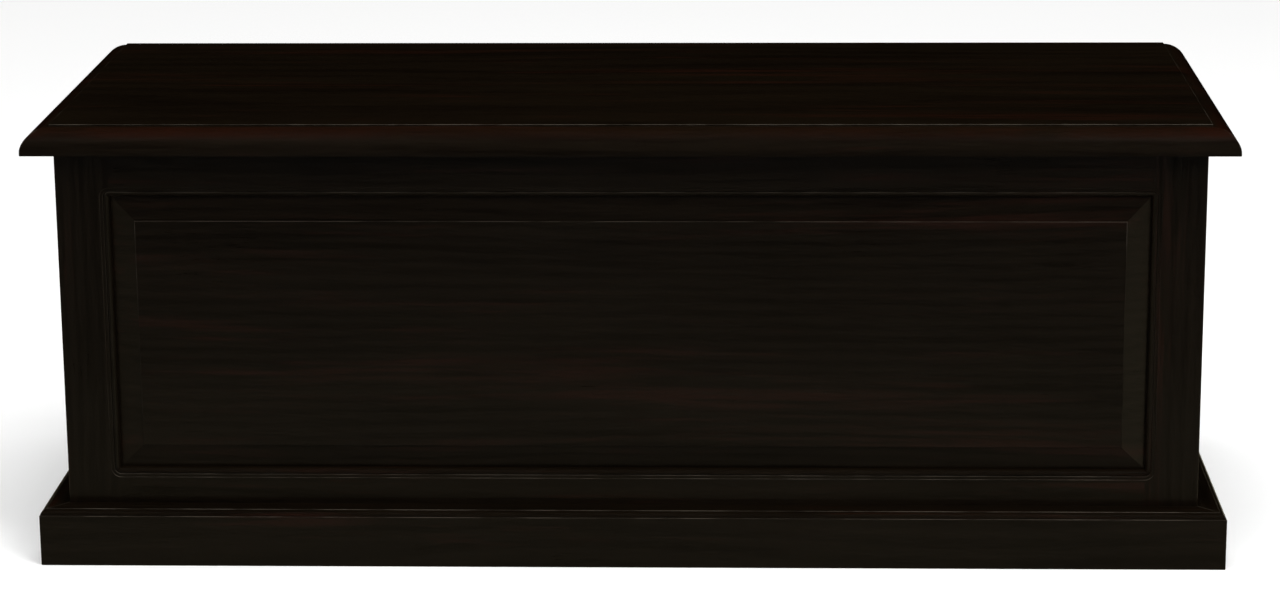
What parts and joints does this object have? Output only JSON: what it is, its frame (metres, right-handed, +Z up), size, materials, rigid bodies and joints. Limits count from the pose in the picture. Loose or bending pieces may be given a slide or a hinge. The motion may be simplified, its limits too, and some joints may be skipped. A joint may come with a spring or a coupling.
{
  "type": "storage bench",
  "caption": "Long low wooden chest with framed raised panels, a moulded plinth and a hinged moulded lid on slotted stays, used as a storage bench.",
  "frame": {"origin": "on the floor, midway along the chest and midway between the lid's front edge and the back of the hinge barrels", "axes": "+X to the viewer's right along the chest's length, +Y from the front to the back, +Z up"},
  "size_m": [1.25, 0.5084, 0.47],
  "materials": {
    "dark_mahogany": "dark stained mahogany, satin lacquer",
    "panel_mahogany": "dark stained mahogany, satin lacquer",
    "lid_mahogany": "dark stained mahogany, satin lacquer",
    "plain_wood": "unstained hardwood, matt",
    "brass": "brushed, lightly aged",
    "felt": "dense felt pad"
  },
  "bodies": {
    "chest": {"front_left_stile": "dark_mahogany", "front_right_stile": "dark_mahogany", "front_top_rail": "dark_mahogany", "front_bottom_rail": "dark_mahogany", "left_front_stile": "dark_mahogany", "left_back_stile": "dark_mahogany", "left_top_rail": "dark_mahogany", "left_bottom_rail": "dark_mahogany", "right_front_stile": "dark_mahogany", "right_back_stile": "dark_mahogany", "right_top_rail": "dark_mahogany", "right_bottom_rail": "dark_mahogany", "back_left_stile": "dark_mahogany", "back_right_stile": "dark_mahogany", "back_top_rail": "dark_mahogany", "back_bottom_rail": "dark_mahogany", "plinth_front": "dark_mahogany", "plinth_left": "dark_mahogany", "plinth_right": "dark_mahogany", "front_panel": "panel_mahogany", "left_panel": "panel_mahogany", "right_panel": "panel_mahogany", "back_panel": "panel_mahogany", "bottom_panel": "plain_wood", "front_cleat": "plain_wood", "back_cleat": "plain_wood", "left_cleat": "plain_wood", "right_cleat": "plain_wood", "corner_blocks": "plain_wood", "hinge_left_box_leaf": "brass", "hinge_left_pin": "brass", "hinge_middle_box_leaf": "brass", "hinge_middle_pin": "brass", "hinge_right_box_leaf": "brass", "hinge_right_pin": "brass", "cleat_screws": "brass", "hinge_box_screws": "brass", "stay_keeper_screws": "brass", "stay_keeper_left": "brass", "stay_keeper_right": "brass", "lid_bumpers": "felt"},
    "lid": {"lid_board_1": "lid_mahogany", "lid_board_2": "lid_mahogany", "lid_board_3": "lid_mahogany", "lid_board_4": "lid_mahogany", "lid_batten_left": "dark_mahogany", "lid_batten_right": "dark_mahogany", "batten_screws": "brass", "hinge_left_lid_leaf": "brass", "hinge_middle_lid_leaf": "brass", "hinge_right_lid_leaf": "brass", "hinge_lid_screws": "brass", "stay_bracket_screws": "brass", "stay_bracket_left": "brass", "stay_rivet_left": "brass", "stay_bracket_right": "brass", "stay_rivet_right": "brass"},
    "stay_arm_left": {"stay_arm_left": "brass"},
    "stay_arm_right": {"stay_arm_right": "brass"}
  },
  "joints": [
    {"name": "lid_hinge", "type": "hinge", "parent": "chest", "child": "lid", "pos_m": [0, 0.25025, 0.4415], "axis": [-1, 0, 0], "range_deg": [0, 100]},
    {"name": "left_stay_pivot", "type": "hinge", "parent": "lid", "child": "stay_arm_left", "pos_m": [-0.56745, 0.05561, 0.4296], "axis": [-1, 0, 0], "range_deg": [-50, 0]},
    {"name": "right_stay_pivot", "type": "hinge", "parent": "lid", "child": "stay_arm_right", "pos_m": [0.56745, 0.05561, 0.4296], "axis": [-1, 0, 0], "range_deg": [-50, 0]}
  ],
  "couplings": [
    {"joint": "left_stay_pivot", "follows": "lid_hinge", "ratio": -0.5},
    {"joint": "right_stay_pivot", "follows": "lid_hinge", "ratio": -0.5}
  ]
}
